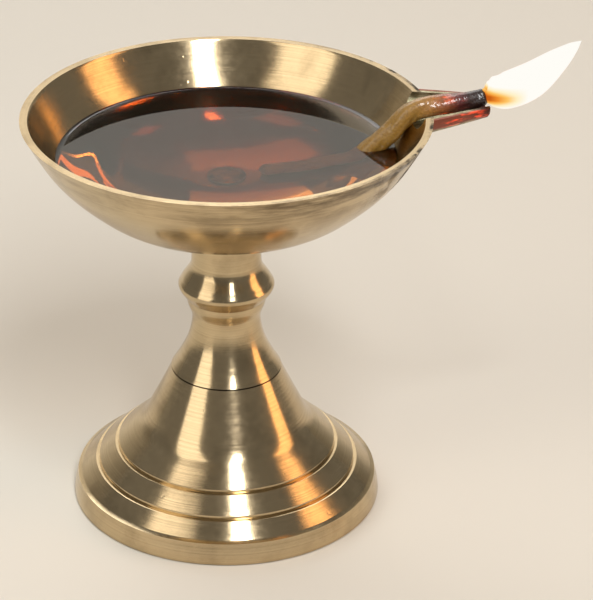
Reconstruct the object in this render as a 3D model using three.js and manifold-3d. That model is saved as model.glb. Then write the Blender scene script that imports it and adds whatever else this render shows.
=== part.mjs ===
// Pedestal oil lamp in turned brass: a spouted bowl on a turned stem and a hollow bell foot,
// drawn together by a stud and nut, with its oil, cotton wick and flame.
// Millimetres, +Z up. The row origin is the bottom centre of the whole lamp's box, flame included,
// and +X runs along the spout. The turning axis stands at x = axisX.
import * as THREE from 'three';
import { mergeVertices } from 'three/addons/utils/BufferGeometryUtils.js';
import Module from 'manifold-3d';

const wasm = await Module();
wasm.setup();

// Clearances
const gap = 0.3;
const turnedSides = 48;

// Bell foot
const footRadius = 31.5;
const footHeight = 28.6;
const footTopRadius = 11.2;
const footBandHeight = 4.8;
const footBandLean = 0.8;
const footCrease = 0.8;
const footWall = 2.0;
const footWebThickness = 4.8;
const grooveDepth = 0.5;
const grooveHalfWidth = 0.45;

// Turned stem
const stemLength = 32.2;
const waistRadius = 6.9;
const waistRise = 11.3;
const knobRadius = 9.65;
const knobRise = 18.2;
const knobCreaseRadius = 8.1;
const knobCreaseRise = 15.8;
const neckRadius = 7.0;
const neckRise = 25.2;
const stemTopRadius = 8.2;

// Bowl and spout
const rimRadius = 40.5;
const bowlDepth = 22.6;
const bowlWall = 1.4;
const bowlFloor = 1.6;
const spoutReach = 52.0;
const troughRootHalfWidth = 6.4;
const troughTipHalfWidth = 2.4;
const spoutWall = 1.7;
const troughRootDepth = 3.4;
const troughTipDepth = 1.6;
const spoutFloor = 1.5;

// Stud, washer and nut
const studRadius = 2.5;
const studHeadRadius = 3.9;
const studHeadHeight = 1.5;
const studTail = 2.0;
const washerRadius = 5.0;
const washerThickness = 1.0;
const nutAcrossFlats = 8.0;
const nutThickness = 4.0;

// Oil, wick and flame
const oilFreeboard = 8.6;
const wickRadius = 2.0;
const wickRestGap = 0.35;
const wickOverhang = 0.5;
const flameLength = 20.4;
const flameRadius = 4.2;
const flameLean = 31.3;

// Levels that follow from the stack
const stemBottom = footHeight + gap;
const bowlSeat = stemBottom + stemLength + gap;
const rimLevel = bowlSeat + bowlDepth;
const oilLevel = rimLevel - oilFreeboard;
const webLevel = footHeight - footWebThickness;
const boreRadius = studRadius + gap;
const wickTip = spoutReach + wickOverhang;

function metal(color, roughness) {
  return new THREE.MeshStandardMaterial({ color, roughness, metalness: 1 });
}
const turnedBrass = metal(0xc9a765, 0.22);
const castBrass = metal(0xb8955a, 0.4);
const platedSteel = metal(0x9a9a96, 0.35);
const lampOil = new THREE.MeshStandardMaterial({ color: 0x5a2f12, roughness: 0.05 });
const cotton = new THREE.MeshStandardMaterial({ color: 0xb48a3c, roughness: 0.8 });
const burningGas = new THREE.MeshStandardMaterial({ color: 0xfff0c8, emissive: 0xffe0a0 });

// A closed body with shared corners, no flat triangles and its faces pointing out.
function closedBody(geometry) {
  geometry.deleteAttribute('normal');
  geometry.deleteAttribute('uv');
  const merged = mergeVertices(geometry, 1e-4);
  const at = merged.attributes.position;
  const index = merged.index.array;
  const kept = [];
  const corner = [new THREE.Vector3(), new THREE.Vector3(), new THREE.Vector3()];
  let volume = 0;
  for (let i = 0; i < index.length; i += 3) {
    const [a, b, c] = [index[i], index[i + 1], index[i + 2]];
    if (a === b || b === c || a === c) continue;
    kept.push([a, b, c]);
    corner.forEach((v, k) => v.fromBufferAttribute(at, [a, b, c][k]));
    volume += corner[0].dot(corner[1].clone().cross(corner[2])) / 6;
  }
  merged.setIndex(kept.flatMap(([a, b, c]) => (volume < 0 ? [a, c, b] : [a, b, c])));
  return merged;
}

// Turns an outline of [radius, height] points about the lamp's axis.
function turned(outline, sides = turnedSides) {
  const points = outline.map(([r, z]) => new THREE.Vector2(r, z));
  return closedBody(new THREE.LatheGeometry(points, sides).rotateX(Math.PI / 2));
}

function solid(geometry) {
  const vertProperties = new Float32Array(geometry.attributes.position.array);
  const triVerts = new Uint32Array(geometry.index.array);
  return new wasm.Manifold(new wasm.Mesh({ numProp: 3, vertProperties, triVerts }));
}

function fromSolid(body) {
  const mesh = body.getMesh();
  const geometry = new THREE.BufferGeometry();
  geometry.setAttribute('position', new THREE.BufferAttribute(mesh.vertProperties, 3));
  geometry.setIndex(new THREE.BufferAttribute(mesh.triVerts, 1));
  return geometry;
}

// A smooth outline through a few [radius, height] points.
function smooth(points, steps) {
  const curve = new THREE.SplineCurve(points.map(([r, z]) => new THREE.Vector2(r, z)));
  return curve.getPoints(steps).map((p) => [p.x, p.y]);
}

// The outline moved sideways by a distance, to its left as it is walked.
function offset(outline, distance) {
  return outline.map((p, i) => {
    const before = outline[Math.max(i - 1, 0)];
    const after = outline[Math.min(i + 1, outline.length - 1)];
    const along = [after[0] - before[0], after[1] - before[1]];
    const length = Math.hypot(...along);
    return [p[0] - (distance * along[1]) / length, p[1] + (distance * along[0]) / length];
  });
}

// The place on an outline, read at a height or at a radius.
function readAt(outline, value, known, wanted) {
  const i = outline.findIndex((p, k) => k > 0 && (p[known] - value) * (outline[k - 1][known] - value) <= 0);
  const [a, b] = [outline[i - 1], outline[i]];
  const share = (value - a[known]) / (b[known] - a[known]);
  return a[wanted] + share * (b[wanted] - a[wanted]);
}
const radiusAt = (outline, z) => readAt(outline, z, 1, 0);
const heightAt = (outline, r) => readAt(outline, r, 0, 1);

// A V groove turned into an outline that falls towards its right.
function groove(outline, radius) {
  const z = heightAt(outline, radius);
  const kept = outline.filter(([r]) => Math.abs(r - radius) > grooveHalfWidth * 1.5);
  const lower = [radius + grooveHalfWidth, heightAt(outline, radius + grooveHalfWidth)];
  const upper = [radius - grooveHalfWidth, heightAt(outline, radius - grooveHalfWidth)];
  const bottom = [radius - grooveDepth * 0.7, z - grooveDepth * 0.7];
  const split = kept.findIndex(([r]) => r < radius);
  return [...kept.slice(0, split), lower, bottom, upper, ...kept.slice(split)];
}

// Foot outline: a leaning rim band, a crease, then the bell's ogee up to the stem.
function footOutline() {
  const bandTop = footRadius - footBandLean;
  const bellFoot = bandTop - footCrease;
  const rise = footHeight - footBandHeight;
  const run = bellFoot - footTopRadius;
  const bell = smooth([
    [bellFoot, footBandHeight + 0.1],
    [bellFoot - run * 0.27, footBandHeight + rise * 0.2],
    [bellFoot - run * 0.55, footBandHeight + rise * 0.4],
    [bellFoot - run * 0.68, footBandHeight + rise * 0.5],
    [bellFoot - run * 0.79, footBandHeight + rise * 0.66],
    [bellFoot - run * 0.91, footBandHeight + rise * 0.85],
    [footTopRadius, footHeight],
  ], 16);
  const lowGroove = bellFoot - run * 0.18;
  const highGroove = bellFoot - run * 0.39;
  const incised = groove(groove(bell, lowGroove), highGroove);
  return [[footRadius, 0], [footRadius - footBandLean * 0.5, footBandHeight * 0.6], [bandTop, footBandHeight], ...incised];
}

function foot() {
  const outer = footOutline();
  const plainBell = outer.filter(([, z], i) => i > 2 && i % 2 === 0 && z < webLevel);
  const inner = offset([[footRadius, 0], ...plainBell], footWall)
    .map(([r, z], i) => [r, i === 0 ? 0 : z])
    .filter(([r, z]) => z < webLevel - 0.5 && r > washerRadius + 1);
  const webRadius = Math.max(washerRadius + 1, radiusAt(outer, webLevel) - footWall);
  return turned([
    ...outer,
    [boreRadius, footHeight],
    [boreRadius, webLevel],
    [webRadius, webLevel],
    ...inner.reverse(),
    outer[0],
  ]);
}

function stem() {
  const z = (rise) => stemBottom + rise;
  const shaft = smooth([
    [footTopRadius, z(0)],
    [footTopRadius - 1.7, z(waistRise * 0.25)],
    [waistRadius + 0.8, z(waistRise * 0.6)],
    [waistRadius, z(waistRise)],
    [waistRadius + 0.9, z(knobCreaseRise - 1.4)],
    [knobCreaseRadius, z(knobCreaseRise)],
  ], 12);
  const knob = smooth([
    [knobCreaseRadius, z(knobCreaseRise)],
    [knobRadius, z(knobRise)],
    [knobRadius - 0.6, z(knobRise + 1.7)],
    [neckRadius + 0.35, z((knobRise + neckRise) * 0.52)],
    [neckRadius, z(neckRise)],
    [neckRadius + 0.25, z((neckRise + stemLength) * 0.5)],
    [stemTopRadius, z(stemLength)],
  ], 14);
  return turned([
    ...shaft,
    ...knob.slice(1),
    [boreRadius, z(stemLength)],
    [boreRadius, z(0)],
    shaft[0],
  ]);
}

// Bowl outline from its seat to its rim, as shares of the rim's radius and the depth.
const bowlOutside = smooth([
  [0.113, 0],
  [0.352, 0.062],
  [0.589, 0.186],
  [0.741, 0.38],
  [0.882, 0.646],
  [1, 1],
].map(([r, z]) => [r * rimRadius, bowlSeat + z * bowlDepth]), 14);
const bowlInside = offset(bowlOutside, bowlWall).map(([r, z]) => [r, Math.min(z, rimLevel)]);

// A wedge along the spout: half widths and depths under the rim at its root and its tip.
function wedge(from, to, rootHalf, tipHalf, rootDepth, tipDepth, top) {
  const section = (half, depth) => [
    [-half, top],
    [-half, rimLevel - depth * 0.55],
    [-half * 0.5, rimLevel - depth],
    [half * 0.5, rimLevel - depth],
    [half, rimLevel - depth * 0.55],
    [half, top],
  ];
  const ends = [[from, section(rootHalf, rootDepth)], [to, section(tipHalf, tipDepth)]];
  const points = ends.flatMap(([x, ring]) => ring.flatMap(([y, z]) => [x, y, z]));
  const count = 6;
  const faces = [];
  for (let i = 0; i < count; i += 1) {
    const next = (i + 1) % count;
    faces.push(i, next, count + next, i, count + next, count + i);
    if (i > 0 && i < count - 1) faces.push(0, i + 1, i, count, count + i, count + i + 1);
  }
  const geometry = new THREE.BufferGeometry();
  geometry.setAttribute('position', new THREE.Float32BufferAttribute(points, 3));
  geometry.setIndex(faces);
  return closedBody(geometry);
}

function bowl() {
  const inside = bowlInside.slice(1);
  const shell = turned([
    [boreRadius, bowlSeat],
    ...bowlOutside,
    ...inside.reverse(),
    [inside[inside.length - 1][0] * 0.5, bowlSeat + bowlFloor],
    [boreRadius, bowlSeat + bowlFloor],
    [boreRadius, bowlSeat],
  ]);
  const hollow = turned([
    [0, bowlSeat + bowlFloor],
    [bowlInside[1][0] * 0.5, bowlSeat + bowlFloor],
    ...bowlInside.slice(1),
    [bowlInside[bowlInside.length - 1][0], rimLevel + 5],
    [0, rimLevel + 5],
  ]);
  const root = rimRadius - 4;
  const slope = (troughRootHalfWidth - troughTipHalfWidth) / (spoutReach - rimRadius + bowlWall);
  const rootHalf = troughTipHalfWidth + slope * (spoutReach - root);
  const past = 1;
  const body = wedge(root, spoutReach, rootHalf + spoutWall, troughTipHalfWidth + spoutWall * 0.8,
    troughRootDepth + spoutFloor, troughTipDepth + spoutFloor * 0.8, rimLevel);
  const trough = wedge(root - 2, spoutReach + past, rootHalf + slope * 2, troughTipHalfWidth - slope * past,
    troughRootDepth, troughTipDepth, rimLevel + 5);
  return fromSolid(solid(shell).add(solid(body).subtract(solid(hollow))).subtract(solid(trough)));
}

// The wick's centre line: along the bowl's floor, up its wall, over the notch and along the spout.
const wickLift = wickRadius + wickRestGap;
function wickLine() {
  const wall = offset(bowlInside, wickLift);
  const level = (z) => [radiusAt(wall, z), z];
  const floorLevel = bowlSeat + bowlFloor + wickLift;
  const notch = rimRadius - bowlWall;
  const points = [
    [studHeadRadius + 2.6, floorLevel + 0.2],
    level(floorLevel + 1.4),
    level(floorLevel + 5.2),
    level(floorLevel + 10.2),
    [notch - 5.6, rimLevel - 4.9],
    [notch - 3.4, rimLevel - 1.6],
    [notch - 0.3, rimLevel - 0.3],
    [notch + 4.6, rimLevel + 0.6],
    [spoutReach - 3, rimLevel + 1.0],
    [wickTip, rimLevel + 1.2],
  ];
  return new THREE.CatmullRomCurve3(points.map(([x, z]) => new THREE.Vector3(x, 0, z)), false, 'centripetal');
}
const wickPath = wickLine();

function ring(radius, sides) {
  const corners = Array.from({ length: sides }, (_, i) => {
    const turn = (2 * Math.PI * (i + 0.5)) / sides;
    return new THREE.Vector2(radius * Math.cos(turn), radius * Math.sin(turn));
  });
  return new THREE.Shape(corners);
}

function wick() {
  const tube = { steps: 26, bevelEnabled: false, extrudePath: wickPath };
  return closedBody(new THREE.ExtrudeGeometry(ring(wickRadius, 8), tube));
}

// Everything above the wick's underside, so that the wick can be lifted out of the oil.
function wickChannel() {
  const clear = wickRadius + gap;
  const line = wickPath.getPoints(20);
  const shape = new THREE.Shape();
  shape.moveTo(line[0].x - clear, rimLevel + 5);
  shape.lineTo(line[0].x - clear, line[0].z - clear);
  line.slice(1).forEach((p, i) => {
    const along = p.clone().sub(line[i]).normalize();
    shape.lineTo(p.x + clear * along.z, p.z - clear * along.x);
  });
  shape.lineTo(wickTip + clear, rimLevel + 5);
  const slab = new THREE.ExtrudeGeometry(shape, { depth: 2 * clear, bevelEnabled: false });
  return closedBody(slab.translate(0, 0, -clear).rotateX(Math.PI / 2));
}

function oil() {
  const bath = offset(bowlInside, gap).slice(1).filter(([, z]) => z < oilLevel);
  const bottom = bowlSeat + bowlFloor + gap;
  const headTop = bowlSeat + bowlFloor + gap + studHeadHeight + gap;
  const headClear = studHeadRadius + gap;
  const body = turned([
    [0, headTop],
    [headClear, headTop],
    [headClear, bottom],
    ...bath.filter(([r, z]) => r > headClear + 1 && z > bottom),
    [radiusAt(offset(bowlInside, gap), oilLevel), oilLevel],
    [0, oilLevel],
  ]);
  // The channel leaves slivers between the wick and the wall, and only the bath itself is kept.
  const pools = solid(body).subtract(solid(wickChannel())).decompose();
  return fromSolid(pools.reduce((a, b) => (a.volume() > b.volume() ? a : b)));
}

function tieStud() {
  const seat = bowlSeat + bowlFloor + gap;
  const tail = webLevel - gap - washerThickness - gap - nutThickness - studTail;
  return turned([
    [0, tail],
    [studRadius - 0.5, tail],
    [studRadius, tail + 0.5],
    [studRadius, seat],
    [studHeadRadius, seat],
    [studHeadRadius, seat + studHeadHeight * 0.45],
    [studHeadRadius * 0.72, seat + studHeadHeight * 0.85],
    [0, seat + studHeadHeight],
  ], 24);
}

function washer() {
  const top = webLevel - gap;
  const bottom = top - washerThickness;
  return turned([[boreRadius, bottom], [washerRadius, bottom], [washerRadius, top], [boreRadius, top], [boreRadius, bottom]], 24);
}

function nut() {
  const shape = ring(nutAcrossFlats / 2 / Math.cos(Math.PI / 6), 6);
  const hole = new THREE.Path();
  hole.absarc(0, 0, boreRadius, 0, 2 * Math.PI, true);
  shape.holes.push(hole);
  const body = new THREE.ExtrudeGeometry(shape, { depth: nutThickness, bevelEnabled: false, curveSegments: 12 });
  return closedBody(body.translate(0, 0, webLevel - gap - washerThickness - gap - nutThickness));
}

// A teardrop that leans away from the wick's tip, as a moving flame does.
function flame() {
  const outline = [
    [0, 0],
    [0.3, 0.02],
    [0.62, 0.12],
    [0.93, 0.28],
    [1, 0.42],
    [0.92, 0.56],
    [0.68, 0.72],
    [0.36, 0.87],
    [0, 1],
  ].map(([r, z]) => [r * flameRadius, z * flameLength]);
  return turned(outline, 20).rotateY(THREE.MathUtils.degToRad(90 - flameLean));
}

function named(name, geometry, material) {
  const mesh = new THREE.Mesh(geometry, material);
  mesh.name = name;
  return mesh;
}

const flameBase = new THREE.Vector3(wickTip + gap + 0.3, 0, rimLevel + 1.2);
const flameReach = flameBase.x + flameLength * Math.cos(THREE.MathUtils.degToRad(flameLean));
const axisX = (rimRadius - flameReach) / 2;

const lamp = new THREE.Group();
lamp.position.x = axisX;
lamp.add(
  named('foot', foot(), turnedBrass),
  named('stem', stem(), turnedBrass),
  named('bowl', bowl(), turnedBrass),
  named('tie_stud', tieStud(), castBrass),
  named('foot_washer', washer(), platedSteel),
  named('foot_nut', nut(), platedSteel),
  named('oil', oil(), lampOil),
);

const burning = new THREE.Group();
const flameMesh = named('flame', flame(), burningGas);
flameMesh.position.copy(flameBase);
burning.add(named('wick', wick(), cotton), flameMesh);
lamp.add(burning);

const whole = new THREE.Group();
whole.add(lamp);
export default whole;
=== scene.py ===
"""A turned brass pedestal oil lamp: bell foot, baluster stem, spouted bowl, oil, cotton wick and flame."""
import math

import bmesh
import bpy
import numpy as np
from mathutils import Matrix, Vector


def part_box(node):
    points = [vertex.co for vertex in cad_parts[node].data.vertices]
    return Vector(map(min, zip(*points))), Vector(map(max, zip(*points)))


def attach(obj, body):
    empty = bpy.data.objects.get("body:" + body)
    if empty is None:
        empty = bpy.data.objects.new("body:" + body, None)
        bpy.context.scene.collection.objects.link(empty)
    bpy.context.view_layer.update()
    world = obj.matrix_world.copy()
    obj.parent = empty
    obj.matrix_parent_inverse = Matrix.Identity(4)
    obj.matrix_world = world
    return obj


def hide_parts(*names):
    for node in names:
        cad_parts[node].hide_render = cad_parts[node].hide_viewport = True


bl_info = {
    "name": "Brass Pedestal Oil Lamp",
    "version": (1, 0, 0),
    "blender": (4, 5, 0),
    "location": "View3D > Sidebar > Lamp",
    "description": "Builds a turned brass pedestal oil lamp with its oil, wick and flame",
    "category": "Object",
}

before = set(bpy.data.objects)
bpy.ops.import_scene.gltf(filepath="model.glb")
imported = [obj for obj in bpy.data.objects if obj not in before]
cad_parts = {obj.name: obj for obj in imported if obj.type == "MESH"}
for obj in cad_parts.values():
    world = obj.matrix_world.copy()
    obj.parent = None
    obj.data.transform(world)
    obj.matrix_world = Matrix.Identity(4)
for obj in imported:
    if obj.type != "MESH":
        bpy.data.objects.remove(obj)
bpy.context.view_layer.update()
MM = 0.001


def corners(node):
    """A node's lowest and highest corner as numpy arrays, in millimetres."""
    low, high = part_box(node)
    return np.array(low) / MM, np.array(high) / MM


# Driving places, in millimetres, read from the frame
FOOT_LOW, FOOT_HIGH = corners("foot")
STEM_LOW, STEM_HIGH = corners("stem")
BOWL_LOW, BOWL_HIGH = corners("bowl")
WICK_HIGH = corners("wick")[1]
FLAME_HIGH = corners("flame")[1]
OIL_HIGH = corners("oil")[1]
AXIS_X = (FOOT_LOW[0] + FOOT_HIGH[0]) / 2
FOOT_RADIUS = (FOOT_HIGH[0] - FOOT_LOW[0]) / 2
FOOT_TOP = FOOT_HIGH[2]
STEM_FOOT_RADIUS = (STEM_HIGH[0] - STEM_LOW[0]) / 2
RIM_RADIUS = (BOWL_HIGH[1] - BOWL_LOW[1]) / 2
RIM_LEVEL = BOWL_HIGH[2]
SEAT_LEVEL = BOWL_LOW[2]
BOWL_DEPTH = RIM_LEVEL - SEAT_LEVEL
SPOUT_REACH = BOWL_HIGH[0] - AXIS_X
WICK_TIP = WICK_HIGH[0] - AXIS_X
OIL_LEVEL = OIL_HIGH[2]

# Places on the turned outlines, in millimetres
FOOT_BAND_HEIGHT = 4.8
FOOT_BAND_LEAN = 0.8
FOOT_CREASE = 0.8
FOOT_BAND_STEPS = 14
FOOT_WALL = 2.0
FOOT_WEB = 4.8
BORE_RADIUS = 2.8
BOWL_FLOOR = 1.6
BED_SHARE = 0.6

# The stem's outline as (radius, height over its foot), in millimetres: shaft, bead, knob and neck
STEM_SHAFT = [(9.5, 2.8), (7.7, 6.8), (6.9, 11.3), (7.8, 14.4)]
STEM_BEAD = (8.1, 15.8)
STEM_KNOB = [(9.65, 18.2), (9.05, 19.9), (7.35, 22.6), (7.0, 25.2), (7.25, 28.7)]
STEM_TOP_RADIUS = 8.2

# The spout's trough, in millimetres: half widths and depths under the rim, at its tip and its root
TROUGH_HALF_TIP = 2.4
TROUGH_HALF_ROOT = 6.4
TROUGH_DEPTH_TIP = 1.6
TROUGH_DEPTH_ROOT = 3.4
SPOUT_FLOOR = 1.5
SPOUT_LAP = 4

TURNING_MAP = "turning"
SIDES = 160
SHARP_ANGLE = 32
SHARED = {}


class LampSizes(bpy.types.PropertyGroup):
    """Sizes of the lamp's finish, in millimetres."""

    ring_pitch: bpy.props.FloatProperty(
        name="Ring pitch", description="Spacing of the lathe's feed marks", default=0.45, min=0.1, max=2)
    groove_depth: bpy.props.FloatProperty(
        name="Groove depth", description="Depth of the incised rings", default=0.55, min=0.1, max=1)
    bowl_wall: bpy.props.FloatProperty(
        name="Bowl wall", description="Thickness of the turned bowl wall", default=1.4, min=0.8, max=3)
    spout_wall: bpy.props.FloatProperty(
        name="Spout wall", description="Thickness of the cast spout walls", default=1.7, min=0.8, max=3)
    wick_radius: bpy.props.FloatProperty(
        name="Wick radius", description="Half the thickness of the rolled cotton", default=2.0, min=1, max=3)
    flame_glow: bpy.props.FloatProperty(
        name="Flame glow", description="Strength of the flame's light", default=1.0, min=0, max=20)


class LampColours(bpy.types.PropertyGroup):
    """Colours of the lamp, as sRGB hex values."""

    brass: bpy.props.StringProperty(name="Brass", description="Polished brass", default="CFBA96")
    tarnish: bpy.props.StringProperty(name="Tarnish", description="Dulled brass", default="6E5E44")
    oil: bpy.props.StringProperty(name="Oil", description="Dark lamp oil", default="98581F")
    floor: bpy.props.StringProperty(name="Floor", description="Pale floor", default="DDD8CE")


def linear(code):
    """An sRGB hex value as linear red, green, blue and alpha."""
    parts = [int(code[i:i + 2], 16) / 255 for i in (0, 2, 4)]
    return [c / 12.92 if c <= 0.04045 else ((c + 0.055) / 1.055) ** 2.4 for c in parts] + [1.0]


def sizes():
    """The lamp's sizes that can be set in the panel's scene."""
    return bpy.context.scene.lamp_sizes


def colours():
    """The lamp's colours, kept in the same scene."""
    return bpy.context.scene.lamp_colours


# Surfaces

def smooth_line(points, steps):
    """A Catmull-Rom line through the points: each span is the cubic whose end slopes are half the chord
    between its neighbours, read at equal steps."""
    p = np.array(points, float)
    padded = np.vstack([p[0], p, p[-1]])
    t = np.linspace(0, len(p) - 1, steps)
    i = np.minimum(t.astype(int), len(p) - 2)
    f = (t - i)[:, None]
    a, b, c, d = padded[i], padded[i + 1], padded[i + 2], padded[i + 3]
    return 0.5 * (2 * b + (c - a) * f + (2 * a - 5 * b + 4 * c - d) * f**2 + (3 * b - a - 3 * c + d) * f**3)


def moved_sideways(line, distance):
    """The line moved to its left: each point steps along the normal of the chord between its neighbours."""
    line = np.array(line)
    along = np.gradient(line, axis=0)
    along /= np.linalg.norm(along, axis=1)[:, None]
    return line + distance * np.stack([-along[:, 1], along[:, 0]], axis=1)


def mesh_from_grid(name, grid, closed_along=False, capped=False):
    """A closed surface from a grid of points in millimetres: rows run along the shape and columns round it.
    The map holds the length along the rows in millimetres and the share of the way round."""
    rows, cols = grid.shape[:2]
    meridian = np.linalg.norm(np.diff(grid[:, 0], axis=0), axis=1)
    along = np.concatenate([[0], np.cumsum(meridian)])
    last = rows if closed_along else rows - 1
    i, j = np.meshgrid(np.arange(last), np.arange(cols), indexing="ij")
    i, j = i.ravel(), j.ravel()
    i2, j2 = (i + 1) % rows, (j + 1) % cols
    quads = np.stack([i * cols + j, i * cols + j2, i2 * cols + j2, i2 * cols + j], axis=1)
    step = np.concatenate([along, along[-1:] + 1])
    u = np.stack([step[i], step[i], step[i + 1], step[i + 1]], axis=1)
    v = np.stack([j, j + 1, j + 1, j], axis=1) / cols
    points = grid.reshape(-1, 3)
    a, b, c, d = (points[quads[:, k]] for k in range(4))
    volume = np.einsum("ij,ij->", a, np.cross(b, c)) + np.einsum("ij,ij->", a, np.cross(c, d))
    if volume < 0:
        quads, u, v = quads[:, ::-1], u[:, ::-1], v[:, ::-1]
    mesh = bpy.data.meshes.new(name)
    faces = quads.tolist()
    ends = []
    if capped:
        first, final = list(range(cols)), list(range((rows - 1) * cols, rows * cols))
        ends = [first, final[::-1]] if volume < 0 else [first[::-1], final]
    mesh.from_pydata((points * MM).tolist(), [], faces + ends)
    layer = mesh.uv_layers.new(name=TURNING_MAP)
    flat = np.stack([u.ravel(), v.ravel()], axis=1)
    spare = np.zeros((sum(len(e) for e in ends), 2))
    layer.data.foreach_set("uv", np.vstack([flat, spare]).astype(np.float32).ravel())
    work = bmesh.new()
    work.from_mesh(mesh)
    bmesh.ops.remove_doubles(work, verts=work.verts, dist=1e-7)
    bmesh.ops.dissolve_degenerate(work, edges=work.edges, dist=1e-8)
    if capped:
        bmesh.ops.recalc_face_normals(work, faces=work.faces)
    work.to_mesh(mesh)
    work.free()
    return mesh


def turned(name, outline, closed=False):
    """An outline of (radius, height) carried round the lamp's axis: x = r cos, y = r sin, z = height."""
    outline = np.array(outline, float)
    turn = np.linspace(0, 2 * math.pi, SIDES, endpoint=False)
    r, z = outline[:, :1], outline[:, 1:]
    grid = np.stack([AXIS_X + r * np.cos(turn), r * np.sin(turn), z + 0 * turn], axis=2)
    return mesh_from_grid(name, grid, closed_along=closed)


def add_piece(name, mesh, material, sharp=SHARP_ANGLE):
    """Links a mesh as an object at the origin with smooth faces and sharp corners past an angle."""
    piece = bpy.data.objects.new(name, mesh)
    bpy.context.collection.objects.link(piece)
    mesh.materials.append(material)
    mesh.shade_smooth()
    mesh.set_sharp_from_angle(angle=math.radians(sharp))
    return piece


def joined(piece, other, operation):
    """Applies a boolean of one piece with another, which is then deleted."""
    tool = piece.modifiers.new(operation, "BOOLEAN")
    tool.operation = operation
    tool.solver = "EXACT"
    tool.material_mode = "TRANSFER"
    tool.object = other
    graph = bpy.context.evaluated_depsgraph_get()
    result = bpy.data.meshes.new_from_object(piece.evaluated_get(graph))
    piece.modifiers.clear()
    piece.data = result
    bpy.data.objects.remove(other)


# Materials

def add_node(tree, kind, settings=None, **links):
    """Adds a node, sets its fields and inputs, and links its inputs to sockets. A link is named for its
    input, or i0, i1 and so on for an input's number."""
    made = tree.nodes.new(kind)
    for key, value in (settings or {}).items():
        if isinstance(key, str) and hasattr(made, key):
            setattr(made, key, value)
        else:
            made.inputs[key].default_value = value
    for key, source in links.items():
        place = key.replace("_", " ") if key.replace("_", " ") in made.inputs else key
        place = int(key[1:]) if key[0] == "i" and key[1:].isdigit() else place
        tree.links.new(source, made.inputs[place])
    return made


def new_material(name):
    """A material with its surface shader, and its tree."""
    material = bpy.data.materials.new(name)
    material.use_nodes = True
    return material, material.node_tree, material.node_tree.nodes["Principled BSDF"]


def ramp(tree, source, stops):
    """A colour ramp of (place, hex) stops."""
    made = add_node(tree, "ShaderNodeValToRGB", i0=source)
    while len(made.color_ramp.elements) < len(stops):
        made.color_ramp.elements.new(0.5)
    for element, (place, code) in zip(made.color_ramp.elements, stops):
        element.position = place
        element.color = linear(code)
    return made.outputs[0]


def remapped(tree, source, low, high, to_low=0.0, to_high=1.0):
    """A value moved from one range to another and kept inside it."""
    made = add_node(tree, "ShaderNodeMapRange", {1: low, 2: high, 3: to_low, 4: to_high}, i0=source)
    return made.outputs[0]


def over(tree, source, low, high, to_low=0.0, to_high=1.0):
    """A place in metres moved from a range in millimetres to another range."""
    return remapped(tree, source, low * MM, high * MM, to_low, to_high)


def calc(tree, operation, a, b=0):
    """One sum on two values, each a socket or a number."""
    made = add_node(tree, "ShaderNodeMath", {"operation": operation})
    for place, value in enumerate((a, b)):
        if isinstance(value, (int, float)):
            made.inputs[place].default_value = value
        else:
            tree.links.new(value, made.inputs[place])
    return made.outputs[0]


def product(tree, first, *rest):
    """The product of several values."""
    for value in rest:
        first = calc(tree, "MULTIPLY", first, value)
    return first


def mixed(tree, factor, a, b):
    """Two colours mixed by a factor, each a socket or a hex value."""
    made = add_node(tree, "ShaderNodeMix", {"data_type": "RGBA"}, i0=factor)
    for place, value in ((6, a), (7, b)):
        if isinstance(value, str):
            made.inputs[place].default_value = linear(value)
        else:
            tree.links.new(value, made.inputs[place])
    return made.outputs[2]


def noise(tree, coordinates, millimetres, detail, roughness, stretch=None):
    """Noise whose features are about this many millimetres across, and longer along an axis whose stretch
    is under 1."""
    if stretch:
        mapping = add_node(tree, "ShaderNodeMapping", {"Scale": stretch}, Vector=coordinates)
        coordinates = mapping.outputs[0]
    settings = {"Scale": 1 / (millimetres * MM), "Detail": detail, "Roughness": roughness}
    return add_node(tree, "ShaderNodeTexNoise", settings, Vector=coordinates).outputs[0]


def bumped(tree, height, strength, millimetres, **links):
    """The normal raised by a height that stands for this many millimetres."""
    settings = {"Strength": strength, "Distance": millimetres * MM}
    return add_node(tree, "ShaderNodeBump", settings, Height=height, **links).outputs[0]


def object_place(tree):
    """The object coordinates and their x, y and z in metres."""
    place = add_node(tree, "ShaderNodeTexCoord").outputs["Object"]
    split = add_node(tree, "ShaderNodeSeparateXYZ", i0=place)
    return place, split.outputs[0], split.outputs[1], split.outputs[2]


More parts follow.
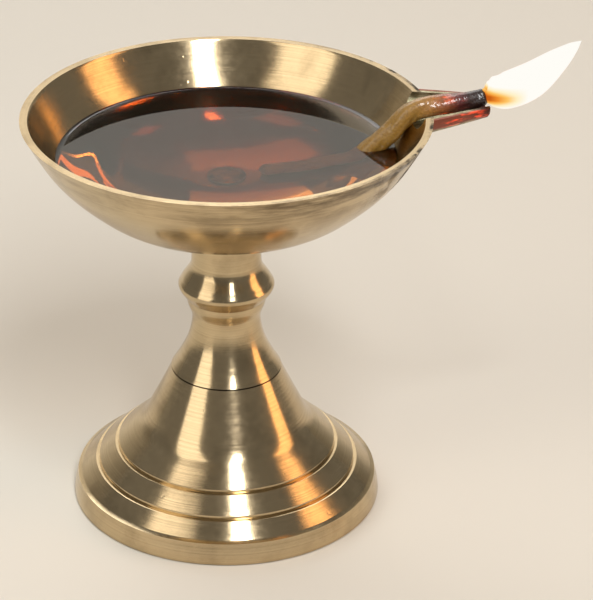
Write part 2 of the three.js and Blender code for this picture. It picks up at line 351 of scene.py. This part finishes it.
def turned_brass():
    """Yellow brass, turned on a lathe and polished: its fine rings stretch each highlight along the outline,
    and dull patches and soot gather under the rim and by the spout."""
    material, tree, surface = new_material("lathe turned yellow brass")
    place, x, y, z = object_place(tree)
    mapped = add_node(tree, "ShaderNodeUVMap", {"uv_map": TURNING_MAP}).outputs[0]
    lanes = add_node(tree, "ShaderNodeSeparateXYZ", i0=mapped)
    pitch = sizes().ring_pitch
    # Feed marks: noise along the outline alone, so that each ring goes all the way round. Real ones are
    # about 0.1 mm apart, too fine to show, so they are drawn coarser
    along = add_node(tree, "ShaderNodeCombineXYZ", i0=lanes.outputs[0])
    rings = add_node(tree, "ShaderNodeTexNoise", {"Scale": 1 / pitch, "Detail": 3.0, "Roughness": 0.7},
                     Vector=along.outputs[0]).outputs[0]
    coarse = add_node(tree, "ShaderNodeTexNoise", {"Scale": 0.35 / pitch, "Detail": 1.0},
                      Vector=along.outputs[0]).outputs[0]
    mottle = noise(tree, place, 9, 6.0, 0.62)
    fine = noise(tree, place, 1.4, 5.0, 0.6)
    dull = remapped(tree, mottle, 0.5, 0.68)
    colour = mixed(tree, product(tree, dull, 0.32), colours().brass, colours().tarnish)
    streak = remapped(tree, rings, 0.35, 0.65, 0.0, 0.3)
    colour = mixed(tree, streak, colour, "8F7A54")
    # The bowl's outside is duller in a band under its rim, in smears that run round it
    smear = noise(tree, place, 5, 5.0, 0.65, (0.35, 0.35, 2.2))
    band = over(tree, z, RIM_LEVEL - 9, RIM_LEVEL - 2)
    right = over(tree, calc(tree, "SUBTRACT", x, y), 0, 50, 0.35, 1.0)
    outside = outside_mask(tree, x, y, z)
    smeared = product(tree, band, remapped(tree, smear, 0.44, 0.62), right, outside)
    colour = mixed(tree, smeared, colour, "5B4A36")
    # Soot on the bowl's side, under the rim and towards the spout
    reach = over(tree, x, AXIS_X + 20, AXIS_X + 33)
    under = over(tree, z, RIM_LEVEL - 12, RIM_LEVEL - 6)
    cloud = remapped(tree, noise(tree, place, 6, 6.0, 0.7), 0.44, 0.56)
    soot = product(tree, reach, under, outside, cloud)
    colour = mixed(tree, product(tree, soot, 0.9), colour, "17120F")
    tree.links.new(colour, surface.inputs["Base Color"])
    surface.inputs["Metallic"].default_value = 1.0
    lathe = remapped(tree, rings, 0.3, 0.7, 0.12, 0.22)
    rough = calc(tree, "ADD", lathe, remapped(tree, fine, 0.4, 0.7, 0.0, 0.05))
    rough = calc(tree, "ADD", rough, product(tree, soot, 0.4))
    tree.links.new(rough, surface.inputs["Roughness"])
    surface.inputs["Anisotropic"].default_value = 0.75
    tangent = add_node(tree, "ShaderNodeTangent", {"direction_type": "UV_MAP", "uv_map": TURNING_MAP})
    tree.links.new(tangent.outputs[0], surface.inputs["Tangent"])
    height = calc(tree, "ADD", product(tree, rings, 0.6), product(tree, coarse, 0.8))
    marks = bumped(tree, height, 0.35, 0.06)
    pits = remapped(tree, noise(tree, place, 2.2, 2.0, 0.5), 0.24, 0.27)
    pitted = bumped(tree, pits, 0.12, 0.1, Normal=marks)
    tree.links.new(pitted, surface.inputs["Normal"])
    return material


def outside_mask(tree, x, y, z):
    """1 on the bowl's outside: a point there lies farther out than the middle of the wall at its height."""
    from_axis = calc(tree, "SUBTRACT", x, AXIS_X * MM)
    squares = calc(tree, "ADD", product(tree, from_axis, from_axis), product(tree, y, y))
    radius = calc(tree, "SQRT", squares)
    half_wall = sizes().bowl_wall / 2
    middle = moved_sideways(bowl_outside(), half_wall)
    at = over(tree, z, SEAT_LEVEL, RIM_LEVEL)
    curve = add_node(tree, "ShaderNodeFloatCurve", i1=at)
    shape = curve.mapping.curves[0]
    for share in (0.1, 0.25, 0.45, 0.7):
        level = SEAT_LEVEL + share * BOWL_DEPTH
        shape.points.new(share, float(np.interp(level, middle[:, 1], middle[:, 0])) / RIM_RADIUS)
    shape.points[0].location = (0, 0.12)
    shape.points[len(shape.points) - 1].location = (1, (RIM_RADIUS - half_wall) / RIM_RADIUS)
    curve.mapping.update()
    wall = product(tree, curve.outputs[0], RIM_RADIUS * MM)
    return over(tree, calc(tree, "SUBTRACT", radius, wall), -0.2, 0.2)


def cast_brass():
    """Sand cast brass of the spout, left rough: its grain scatters the light. It is a pale grey green in the
    trough, reddish brown with painted ember light on its near wall, black at its tip, and black underneath
    with painted shade."""
    material, tree, surface = new_material("sand cast brass")
    place, x, y, z = object_place(tree)
    grain = noise(tree, place, 0.7, 5.0, 0.7)
    patches = noise(tree, place, 3, 4.0, 0.6)
    colour = ramp(tree, patches, [(0.35, "6E6A52"), (0.52, "A29C7E"), (0.7, "CFC9AE")])
    # What lies past the trough's walls is the scorched outside, darkened underneath with painted shade
    spout_tip, rim = AXIS_X + SPOUT_REACH, AXIS_X + RIM_RADIUS
    left = calc(tree, "SUBTRACT", spout_tip * MM, x)
    trough = calc(tree, "ADD", product(tree, left, trough_slope()), TROUGH_HALF_TIP * MM)
    past = over(tree, calc(tree, "SUBTRACT", calc(tree, "ABSOLUTE", y), trough), 0.6, 1.1)
    tip = over(tree, x, spout_tip - 5, spout_tip)
    scorched_and_shaded = product(tree, calc(tree, "MAXIMUM", past, tip), remapped(tree, patches, 0.25, 0.4, 0.7, 1.0))
    # Painted shade: the outside runs from reddish brown at its top to black at its bottom
    height = over(tree, z, RIM_LEVEL - 4.2, RIM_LEVEL - 2.4)
    colour = mixed(tree, scorched_and_shaded, colour, mixed(tree, height, "140C0C", "8A5244"))
    colour = mixed(tree, product(tree, tip, 0.85), colour, "2A1016")
    tree.links.new(colour, surface.inputs["Base Color"])
    # Painted ember light: lines on the near wall glow, standing in for the light of the wick's ember falling
    # on the brass
    ember_glow_reach = over(tree, x, rim + 0.5, rim + 3.5)
    lines = remapped(tree, noise(tree, place, 1.6, 3.0, 0.6, (0.25, 1.0, 1.8)), 0.5, 0.6)
    near = over(tree, y, -2, -1, 1.0, 0.0)
    lit = product(tree, ember_glow_reach, lines, past, height, near)
    tree.links.new(mixed(tree, lit, "000000", "E8401C"), surface.inputs["Emission Color"])
    surface.inputs["Emission Strength"].default_value = 1.0
    surface.inputs["Metallic"].default_value = 1.0
    tree.links.new(remapped(tree, grain, 0.3, 0.7, 0.28, 0.55), surface.inputs["Roughness"])
    tree.links.new(bumped(tree, grain, 0.5, 0.2), surface.inputs["Normal"])
    return material


def lamp_oil():
    """Dark amber lamp oil: clear, with a still glossy top and the brass floor showing through it."""
    material, _, surface = new_material("lamp oil")
    surface.inputs["Base Color"].default_value = linear(colours().oil)
    surface.inputs["Transmission Weight"].default_value = 1.0
    surface.inputs["Roughness"].default_value = 0.0
    surface.inputs["IOR"].default_value = 1.47
    return material


def rolled_cotton():
    """Rolled cotton soaked in oil: the oil gives it a wet shine over a soft, hairy surface. It is olive brown
    by the bowl, orange on the spout, then ember and char."""
    material, tree, surface = new_material("rolled cotton")
    place, x = object_place(tree)[:2]
    fibres = noise(tree, place, 0.5, 5.0, 0.65)
    patches = noise(tree, place, 3, 3.0, 0.6)
    burning = over(tree, x, AXIS_X + RIM_RADIUS - 8, AXIS_X + WICK_TIP)
    along = calc(tree, "ADD", burning, product(tree, patches, 0.12))
    colour = ramp(tree, along, [(0.0, "94702A"), (0.3, "A67C34"), (0.46, "B07A3A"), (0.58, "9A5630"),
                                (0.74, "5A1E22"), (0.84, "2A1414"), (1.0, "140E10")])
    dark = remapped(tree, fibres, 0.35, 0.6, 0.35, 0.0)
    tree.links.new(mixed(tree, dark, colour, "3A2410"), surface.inputs["Base Color"])
    surface.inputs["Roughness"].default_value = 0.4
    surface.inputs["Coat Weight"].default_value = 0.7
    surface.inputs["Coat Roughness"].default_value = 0.15
    ember = ramp(tree, along, [(0.46, "000000"), (0.6, "C8481C"), (0.72, "6A1408"), (0.84, "000000")])
    threads = noise(tree, place, 1.4, 3.0, 0.6, (0.3, 1.0, 1.6))
    glow = mixed(tree, remapped(tree, threads, 0.52, 0.62), "000000", ember)
    tree.links.new(glow, surface.inputs["Emission Color"])
    surface.inputs["Emission Strength"].default_value = 1.1
    tree.links.new(bumped(tree, fibres, 0.6, 0.3), surface.inputs["Normal"])
    return material


def glowing_gas():
    """Flame: glowing gas, white through its body, with a yellow and orange wedge low at its base."""
    material, tree, surface = new_material("flame")
    _, x, _, z = object_place(tree)
    # The wedge lies level with the wick's tip and fades as it runs out into the flame
    wick_tip = AXIS_X + WICK_TIP
    from_level = calc(tree, "ABSOLUTE", calc(tree, "SUBTRACT", z, (RIM_LEVEL + 1.4) * MM))
    near = over(tree, from_level, 0.4, 2.4, 1.0, 0.0)
    out = over(tree, x, wick_tip - 0.5, wick_tip + 7, 1.0, 0.0)
    colour = ramp(tree, product(tree, near, out),
                  [(0.0, "FFFDF6"), (0.3, "FFF0C4"), (0.55, "FFC766"), (0.8, "F0902E"),
                   (1.0, "C85E16")])
    edge = add_node(tree, "ShaderNodeLayerWeight", {"Blend": 0.5}).outputs["Facing"]
    colour = mixed(tree, remapped(tree, edge, 0.72, 1.0, 0.0, 0.8), colour, "FFDDC4")
    surface.inputs["Base Color"].default_value = (0, 0, 0, 1)
    surface.inputs["Roughness"].default_value = 1.0
    surface.inputs["Specular IOR Level"].default_value = 0.0
    tree.links.new(colour, surface.inputs["Emission Color"])
    surface.inputs["Emission Strength"].default_value = sizes().flame_glow
    return material


def dulled_metal(name, code, roughness):
    """Metal of a small fastener, dulled by oil and handling."""
    material, tree, surface = new_material(name)
    place = object_place(tree)[0]
    patches = noise(tree, place, 2, 5.0, 0.6)
    grime = remapped(tree, patches, 0.4, 0.65)
    tree.links.new(mixed(tree, grime, code, "5A4F3C"), surface.inputs["Base Color"])
    surface.inputs["Metallic"].default_value = 1.0
    worn = remapped(tree, patches, 0.3, 0.7, roughness - 0.08, roughness + 0.15)
    tree.links.new(worn, surface.inputs["Roughness"])
    return material


def shared_material(maker):
    """A material that several pieces share, made once."""
    if maker not in SHARED:
        SHARED[maker] = maker()
    return SHARED[maker]


# Outlines, as (radius, height) in millimetres

def grooved(line, radius):
    """The line with a V groove cut where it passes a radius."""
    depth = sizes().groove_depth
    half_width = depth * 0.9
    middle = int(np.argmin(np.abs(line[:, 0] - radius)))
    distance = np.hypot(*(line - line[middle]).T)
    inward = moved_sideways(line, 1.0) - line
    cut = depth * np.clip(1 - distance / half_width, 0, 1)
    return line + inward * cut[:, None]


def foot_outside():
    """The rim band leans in a little, then past a crease the bell sweeps up to the stem."""
    band_top = FOOT_RADIUS - FOOT_BAND_LEAN
    bell_foot = band_top - FOOT_CREASE
    rise, run = FOOT_TOP - FOOT_BAND_HEIGHT, bell_foot - STEM_FOOT_RADIUS
    shares = [(0, 0.004), (0.27, 0.2), (0.55, 0.4), (0.68, 0.5), (0.79, 0.66), (0.91, 0.85), (1, 1)]
    bell = smooth_line([(bell_foot - run * a, FOOT_BAND_HEIGHT + rise * b) for a, b in shares], 260)
    ring_shares = (0.18, 0.39)
    for share in ring_shares:
        bell = grooved(bell, bell_foot - run * share)
    edge, bulge_level, bulge_lean, turn_in = 0.35, 2.0, 0.2, 0.2
    band = smooth_line([(FOOT_RADIUS, edge), (FOOT_RADIUS - bulge_lean, bulge_level),
                        (band_top, FOOT_BAND_HEIGHT - turn_in)], FOOT_BAND_STEPS)
    bottom = [(FOOT_RADIUS - edge, 0)]
    return np.vstack([bottom, band, bell])


def bowl_outside():
    """A shallow dish that grows steeper towards its rim."""
    shares = [(0.113, 0), (0.352, 0.062), (0.589, 0.186), (0.741, 0.38), (0.882, 0.646), (1, 1)]
    return smooth_line([(a * RIM_RADIUS, SEAT_LEVEL + b * BOWL_DEPTH) for a, b in shares], 90)


def bowl_inside():
    """The outside moved in by the wall, and flat on the rim."""
    line = moved_sideways(bowl_outside(), sizes().bowl_wall)
    line[:, 1] = np.minimum(line[:, 1], RIM_LEVEL)
    return line


def trough_slope():
    """How much each side of the trough draws in a millimetre, from the bowl's inside to the tip."""
    length = SPOUT_REACH - RIM_RADIUS + sizes().bowl_wall
    return (TROUGH_HALF_ROOT - TROUGH_HALF_TIP) / length


# Pieces

class LAMP_OT_foot(bpy.types.Operator):
    """Builds the hollow bell foot"""

    bl_idname = "lamp.foot"
    bl_label = "Bell foot"

    def execute(self, context):
        outer = foot_outside()
        web = FOOT_TOP - FOOT_WEB
        bell_start, thinning = FOOT_BAND_STEPS + 6, 6
        corner_rise, corner_run = 0.5, 0.4
        shell = moved_sideways(outer[bell_start:], FOOT_WALL)
        shell = shell[shell[:, 1] < web - corner_rise][::thinning]
        inner = np.vstack([[(shell[-1, 0] - corner_run, web)], shell[::-1], [(FOOT_RADIUS - FOOT_WALL, 0)]])
        outline = np.vstack([outer, [(BORE_RADIUS, FOOT_TOP), (BORE_RADIUS, web)], inner])
        piece = add_piece("foot_bell", turned("foot_bell", outline, closed=True),
                          shared_material(turned_brass))
        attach(piece, "lamp")
        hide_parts("foot")
        return {"FINISHED"}


class LAMP_OT_stem(bpy.types.Operator):
    """Builds the turned baluster stem"""

    bl_idname = "lamp.stem"
    bl_label = "Stem"

    def execute(self, context):
        low, top = STEM_LOW[2], STEM_HIGH[2]
        height = top - low
        shaft = smooth_line([(STEM_FOOT_RADIUS, 0), *STEM_SHAFT, STEM_BEAD], 90) + (0, low)
        knob = smooth_line([STEM_BEAD, *STEM_KNOB, (STEM_TOP_RADIUS, height)], 110) + (0, low)
        outline = np.vstack([shaft, knob[1:], [(BORE_RADIUS, top), (BORE_RADIUS, low)]])
        piece = add_piece("stem_baluster", turned("stem_baluster", outline, closed=True),
                          shared_material(turned_brass))
        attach(piece, "lamp")
        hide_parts("stem")
        return {"FINISHED"}


def spout_wedge(name, stations, squareness, top, material):
    """A wedge along the spout: each section is a half ellipse hung from the rim's level, carried from root
    to tip. Its cosine and sine are raised to a power, and one under 1 makes the corners squarer. A station
    is its distance from the axis, its half width and its depth under the rim."""
    turn = np.linspace(0, math.pi, 25)
    rings = []
    for reach, half, depth in stations:
        y = half * np.sign(np.cos(turn)) * np.abs(np.cos(turn)) ** squareness
        z = RIM_LEVEL - depth * np.sin(turn) ** squareness
        ring = np.stack([np.full_like(y, AXIS_X + reach), y, z], axis=1)
        lid = np.array([[AXIS_X + reach, -half, top], [AXIS_X + reach, half, top]])
        rings.append(np.vstack([ring, lid]) if top > RIM_LEVEL else ring)
    return add_piece(name, mesh_from_grid(name, np.array(rings), capped=True), material)


class LAMP_OT_bowl(bpy.types.Operator):
    """Builds the bowl with its spout, cut by the trough"""

    bl_idname = "lamp.bowl"
    bl_label = "Bowl and spout"

    def execute(self, context):
        brass, rough = shared_material(turned_brass), shared_material(cast_brass)
        floor = SEAT_LEVEL + BOWL_FLOOR
        inside = bowl_inside()[4:]
        flat = (inside[0, 0] * BED_SHARE, floor)
        outline = np.vstack([[(BORE_RADIUS, SEAT_LEVEL)], bowl_outside(), inside[::-1],
                             [flat, (BORE_RADIUS, floor)]])
        bowl = add_piece("bowl_dish", turned("bowl_dish", outline, closed=True), brass)
        above = RIM_LEVEL + 6
        hollow_line = np.vstack([[(0, floor), flat], inside, [(inside[-1, 0], above), (0, above)]])
        hollow = add_piece("hollow", turned("hollow", hollow_line), brass)
        body = spout_wedge("body", self.body_stations(), 0.8, RIM_LEVEL, rough)
        joined(body, hollow, "DIFFERENCE")
        joined(bowl, body, "UNION")
        trough = spout_wedge("trough", self.trough_stations(), 0.75, RIM_LEVEL + 5, rough)
        joined(bowl, trough, "DIFFERENCE")
        bowl.data.shade_smooth()
        bowl.data.set_sharp_from_angle(angle=math.radians(SHARP_ANGLE))
        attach(bowl, "lamp")
        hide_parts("bowl")
        return {"FINISHED"}

    def body_stations(self):
        """The spout's outside: the trough with its walls, whose edges are rounded over at the tip."""
        cheek, root = sizes().spout_wall, RIM_RADIUS - SPOUT_LAP
        half_root = TROUGH_HALF_TIP + trough_slope() * (SPOUT_REACH - root)
        middle, half_middle = (root + SPOUT_REACH) / 2, (half_root + TROUGH_HALF_TIP) / 2
        middle_depth, rounding = 3.9, 0.4
        half_tip, tip_depth = TROUGH_HALF_TIP, TROUGH_DEPTH_TIP
        return [(root, half_root + cheek, TROUGH_DEPTH_ROOT + SPOUT_FLOOR),
                (middle, half_middle + cheek * 0.9, middle_depth),
                (SPOUT_REACH - rounding, half_tip + cheek * 0.8, tip_depth + SPOUT_FLOOR * 0.8),
                (SPOUT_REACH, half_tip + cheek * 0.55, tip_depth + SPOUT_FLOOR * 0.6)]

    def trough_stations(self):
        """The trough's cutter, carried on past the spout's root and tip."""
        slope, start, past_tip, extra_depth = trough_slope(), RIM_RADIUS - SPOUT_LAP - 2, 1, 0.3
        half_start = TROUGH_HALF_TIP + slope * (SPOUT_REACH - start)
        return [(start, half_start, TROUGH_DEPTH_ROOT + extra_depth),
                (SPOUT_REACH + past_tip, TROUGH_HALF_TIP - slope * past_tip, TROUGH_DEPTH_TIP)]


class LAMP_OT_oil(bpy.types.Operator):
    """Fills the bowl with oil"""

    bl_idname = "lamp.oil"
    bl_label = "Oil"

    def execute(self, context):
        off_wall, off_floor, creep = 0.02, 0.05, 0.3
        bed = moved_sideways(bowl_inside()[6:], off_wall)
        bed = bed[bed[:, 1] < OIL_LEVEL + creep]
        edge = bed[-1]
        # The oil creeps up the wall and is flat again 1.1 mm from it
        meniscus = [(edge[0] - 0.35, OIL_LEVEL + 0.1), (edge[0] - 1.1, OIL_LEVEL), (0, OIL_LEVEL)]
        bottom = SEAT_LEVEL + BOWL_FLOOR + off_floor
        outline = np.vstack([[(0, bottom), (bed[0, 0] * BED_SHARE, bottom)], bed[::3], [edge], meniscus])
        piece = add_piece("oil_bath", turned("oil_bath", outline), lamp_oil())
        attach(piece, "lamp")
        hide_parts("oil")
        return {"FINISHED"}


class LAMP_OT_wick(bpy.types.Operator):
    """Rolls the cotton wick along the bowl and the spout"""

    bl_idname = "lamp.wick"
    bl_label = "Wick"

    def execute(self, context):
        radius = sizes().wick_radius
        off_brass = 0.35
        wall = moved_sideways(bowl_inside(), radius + off_brass)
        level = SEAT_LEVEL + BOWL_FLOOR + radius + off_brass
        notch = RIM_RADIUS - sizes().bowl_wall
        # It lies on the floor and the wall, leaves them for the notch and runs out along the trough
        start = (6.5, level + 0.2)
        on_wall = [(float(np.interp(level + up, wall[:, 1], wall[:, 0])), level + up) for up in (1.4, 5.2)]
        line = smooth_line([start, *on_wall, (notch - 11, OIL_LEVEL - 0.8),
                            (notch - 6.4, OIL_LEVEL + 3.0), (notch - 1.9, RIM_LEVEL - 1.2),
                            (notch + 4.6, RIM_LEVEL - 0.2), (SPOUT_REACH - 3, RIM_LEVEL + 0.4),
                            (WICK_TIP - 0.1, RIM_LEVEL + 1.2)], 260)
        piece = add_piece("cotton_wick", self.rolled(line, radius), rolled_cotton())
        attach(piece, "wick")
        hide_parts("wick")
        return {"FINISHED"}

    def rolled(self, line, radius):
        """Three plies laid in a twist: the radius rises over each ply and dips between, the lay turns with
        the length, and seeded noise roughens it. The ends draw in to a point."""
        lay_length, ply_depth, fray_length, fray_share, end_length = 30, 0.14, 7, 0.22, 1.3
        rng = np.random.default_rng(11)
        along = np.gradient(line, axis=0)
        along /= np.linalg.norm(along, axis=1)[:, None]
        length = np.concatenate([[0], np.cumsum(np.hypot(*np.diff(line, axis=0).T))])
        turn = np.linspace(0, 2 * math.pi, 48, endpoint=False)
        lay = 2 * math.pi * length[:, None] / lay_length
        ply = 1 - ply_depth / 2 + ply_depth * np.abs(np.cos(1.5 * (turn[None, :] - lay)))
        rough = rng.normal(0, 0.012, (len(line), len(turn)))
        rough = (rough + np.roll(rough, 1, 0) + np.roll(rough, 1, 1)) / 2
        left = length[-1] - length[:, None]
        fray = 1 - fray_share * np.clip(1 - left / fray_length, 0, 1)
        ends = np.sqrt(np.clip(np.minimum(length[:, None], left) / end_length, 0, 1))
        r = radius * (ply + rough) * fray * np.maximum(ends, 0.02)
        side = np.stack([-along[:, 1], along[:, 0]], axis=1)
        x = AXIS_X + line[:, :1] + side[:, :1] * r * np.cos(turn)
        z = line[:, 1:] + side[:, 1:] * r * np.cos(turn)
        return mesh_from_grid("cotton_wick", np.stack([x, r * np.sin(turn), z], axis=2), capped=True)


class LAMP_OT_flame(bpy.types.Operator):
    """Lights the flame at the wick's tip"""

    bl_idname = "lamp.flame"
    bl_label = "Flame"

    def execute(self, context):
        piece = add_piece("flame_tongue", self.tongue(), glowing_gas(), sharp=180)
        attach(piece, "wick")
        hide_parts("flame")
        return {"FINISHED"}

    def tongue(self):
        """A teardrop: the middle line runs from the wick's tip up and out, its belly hangs low, and each
        section is an ellipse across that line. A station is its way out from the wick's tip, its height over
        the rim and its half thickness."""
        tip, flatness, thinnest = (FLAME_HIGH[0] - AXIS_X, FLAME_HIGH[2]), 0.85, 0.02
        stations = [(-1.0, 2.5, thinnest), (-0.85, 2.45, 1.8), (0.3, 2.2, 2.9), (3.4, 2.1, 3.8),
                    (8.2, 4.0, 3.75), (13.0, 7.7, 2.55), (16.2, 10.4, 1.2)]
        points = [(WICK_TIP + out, RIM_LEVEL + up, half) for out, up, half in stations]
        shape = smooth_line([*points, (*tip, thinnest)], 110)
        line, r = shape[:, :2], np.maximum(shape[:, 2:], thinnest)
        along = np.gradient(line, axis=0)
        along /= np.linalg.norm(along, axis=1)[:, None]
        side = np.stack([-along[:, 1], along[:, 0]], axis=1)
        turn = np.linspace(0, 2 * math.pi, 48, endpoint=False)
        x = AXIS_X + line[:, :1] + side[:, :1] * r * np.cos(turn)
        z = line[:, 1:] + side[:, 1:] * r * np.cos(turn)
        grid = np.stack([x, flatness * r * np.sin(turn), z], axis=2)
        return mesh_from_grid("flame_tongue", grid, capped=True)


class LAMP_OT_fasteners(bpy.types.Operator):
    """Gives the stud, the washer and the nut their finish"""

    bl_idname = "lamp.fasteners"
    bl_label = "Stud, washer and nut"

    def execute(self, context):
        finishes = {
            "tie_stud": ("turned brass stud", "8A6A3C", 0.35),
            "foot_washer": ("zinc plated steel washer", "A8A8A2", 0.35),
            "foot_nut": ("zinc plated steel nut", "9C9C96", 0.3),
        }
        for node, finish in finishes.items():
            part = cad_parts[node]
            part.data.materials.clear()
            part.data.materials.append(dulled_metal(*finish))
        return {"FINISHED"}


class LAMP_OT_stage(bpy.types.Operator):
    """Sets the floor, the backdrop, the lights and the camera"""

    bl_idname = "lamp.stage"
    bl_label = "Stage"

    def execute(self, context):
        self.sweep()
        self.lights()
        self.world()
        self.camera()
        return {"FINISHED"}

    def sweep(self):
        """A floor that curves up into a wall behind the lamp: a line carried sideways."""
        reach, back, bend, top = 2.5, 1.2, 0.5, 2.2
        turn = np.linspace(0, math.pi / 2, 24)
        curve = np.stack([back + bend * np.sin(turn), bend - bend * np.cos(turn)], axis=1)
        line = np.vstack([[(-reach, 0)], curve, [(back + bend, top)]])
        grid = np.array([[(x, y, z) for y, z in line] for x in (-reach, reach)])
        cols = len(line)
        faces = [(j, cols + j, cols + j + 1, j + 1) for j in range(cols - 1)]
        mesh = bpy.data.meshes.new("studio_floor")
        mesh.from_pydata(grid.reshape(-1, 3).tolist(), [], faces)
        material, _, surface = new_material("pale paper sweep")
        surface.inputs["Base Color"].default_value = linear(colours().floor)
        surface.inputs["Roughness"].default_value = 0.9
        floor = add_piece("studio_floor", mesh, material)

    def lights(self):
        """Soft boxes: a narrow one over the camera for the bright streak, wide ones at the sides and behind,
        and one that washes the wall. Angles are in degrees, lengths in metres and power in watts."""
        centre = Vector((AXIS_X * MM, 0, 0.06))
        # Name, azimuth, elevation, distance, width, height, power and colour
        boxes = [
            ("key", -8, 50, 0.9, 0.12, 0.5, 5.0, "FFFFFF"),
            ("left", 62, 30, 0.9, 0.5, 0.9, 2.6, "FFF6E8"),
            ("right", -78, 22, 0.9, 0.3, 0.8, 2.0, "FFC080"),
            ("back", 172, 48, 1.0, 0.9, 0.5, 3.4, "FFFFFF"),
        ]
        for name, azimuth, elevation, distance, width, height, power, code in boxes:
            a, e = math.radians(azimuth), math.radians(elevation)
            way = Vector((-math.sin(a) * math.cos(e), -math.cos(a) * math.cos(e), math.sin(e)))
            data = bpy.data.lights.new(name, "AREA")
            data.shape = "RECTANGLE"
            data.size, data.size_y = width, height
            data.energy = power
            data.color = linear(code)[:3]
            lamp = bpy.data.objects.new(name, data)
            lamp.location = centre + way * distance
            lamp.rotation_euler = (-way).to_track_quat("-Z", "Y").to_euler()
            bpy.context.collection.objects.link(lamp)
        wash_size, wash_power, wash_back, wash_level = 1.2, 22, 0.75, 1.3
        wash_way = Vector((0, 1, -0.35))
        wash = bpy.data.lights.new("wall wash", "AREA")
        wash.size = wash_size
        wash.energy = wash_power
        lamp = bpy.data.objects.new("wall wash", wash)
        lamp.location = (AXIS_X * MM, wash_back, wash_level)
        lamp.rotation_euler = wash_way.to_track_quat("-Z", "Y").to_euler()
        bpy.context.collection.objects.link(lamp)

    def world(self):
        """A plain grey room."""
        world = bpy.data.worlds.new("studio")
        bpy.context.scene.world = world
        world.use_nodes = True
        back = world.node_tree.nodes["Background"]
        back.inputs[0].default_value = linear("B9B6B0")
        back.inputs[1].default_value = 0.42

    def camera(self):
        """The photograph's view: a long lens 8 degrees round from square to the spout, looking down."""
        azimuth, elevation = math.radians(-8), math.radians(27.59)
        distance, look_level = 607.6 * MM, 43.4 * MM
        focal_px, frame_px, centre_px, axis_px = 3010.7, 600, 296.5, 226.4
        data = bpy.data.cameras.new("camera")
        data.sensor_width = 36
        data.lens = focal_px / frame_px * data.sensor_width
        data.shift_x = (centre_px - axis_px) / frame_px
        data.clip_start = 0.01
        camera = bpy.data.objects.new("camera", data)
        back = Vector((math.sin(azimuth) * math.cos(elevation), -math.cos(azimuth) * math.cos(elevation),
                       math.sin(elevation)))
        camera.location = Vector((AXIS_X * MM, 0, look_level)) + back * distance
        camera.rotation_euler = (-back).to_track_quat("-Z", "Y").to_euler()
        bpy.context.collection.objects.link(camera)
        bpy.context.scene.camera = camera
        bpy.context.scene.view_settings.view_transform = "Standard"


OPERATORS = (LAMP_OT_stage, LAMP_OT_foot, LAMP_OT_stem, LAMP_OT_bowl, LAMP_OT_oil, LAMP_OT_wick,
             LAMP_OT_flame, LAMP_OT_fasteners)


class LAMP_PT_panel(bpy.types.Panel):
    """Lists the lamp's pieces"""

    bl_idname = "LAMP_PT_panel"
    bl_label = "Pedestal oil lamp"
    bl_space_type = "VIEW_3D"
    bl_region_type = "UI"
    bl_category = "Lamp"

    def draw(self, context):
        for operator in OPERATORS:
            self.layout.operator(operator.bl_idname)


CLASSES = (LampSizes, LampColours, *OPERATORS, LAMP_PT_panel)


def register():
    for item in CLASSES:
        bpy.utils.register_class(item)
    bpy.types.Scene.lamp_sizes = bpy.props.PointerProperty(type=LampSizes)
    bpy.types.Scene.lamp_colours = bpy.props.PointerProperty(type=LampColours)


def unregister():
    del bpy.types.Scene.lamp_colours
    del bpy.types.Scene.lamp_sizes
    for item in reversed(CLASSES):
        bpy.utils.unregister_class(item)


def main():
    """Builds the stage and the lamp."""
    register()
    bpy.ops.lamp.stage()
    bpy.ops.lamp.foot()
    bpy.ops.lamp.stem()
    bpy.ops.lamp.bowl()
    bpy.ops.lamp.oil()
    bpy.ops.lamp.wick()
    bpy.ops.lamp.flame()
    bpy.ops.lamp.fasteners()


if __name__ == "__main__":
    main()
